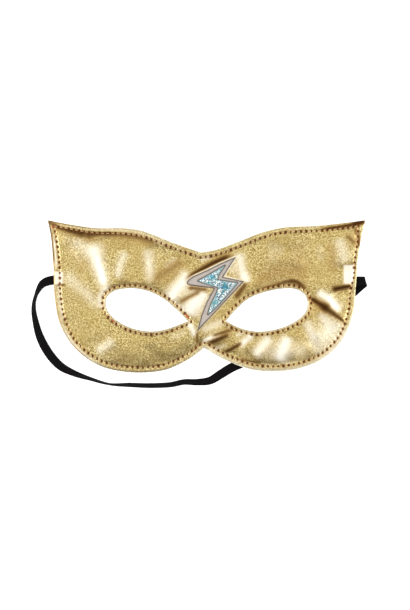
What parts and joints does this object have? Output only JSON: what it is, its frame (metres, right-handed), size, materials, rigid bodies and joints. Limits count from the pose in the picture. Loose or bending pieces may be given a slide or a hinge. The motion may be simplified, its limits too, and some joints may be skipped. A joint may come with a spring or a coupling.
{
  "type": "superhero mask",
  "caption": "Padded eye mask with two almond eye holes, a raised lightning bolt over the nose and a flat elastic strap, lying flat.",
  "frame": {"origin": "middle of the mask's outline, without the strap, on the surface it lies on", "axes": "+X towards the wing on the right as seen from the front, +Y towards the brow, +Z out of the gold front"},
  "size_m": [0.2183, 0.1092, 0.0066],
  "materials": {
    "gold_leather": "wrinkled metallic gold faux leather with a fine sandy grain",
    "lining_felt": "matte felt",
    "satin_thread": "dense satin stitch in silvery taupe",
    "glitter_vinyl": "turquoise, lilac and silver glitter",
    "black_elastic": "ribbed woven elastic",
    "seam_thread": "bronze sewing thread"
  },
  "bodies": {
    "root": {"gold_front": "gold_leather", "back_lining": "lining_felt", "bolt_border": "satin_thread", "bolt_glitter": "glitter_vinyl", "elastic_strap": "black_elastic", "edge_seam_thread": "seam_thread", "left_eye_seam_thread": "seam_thread", "right_eye_seam_thread": "seam_thread"}
  },
  "joints": []
}
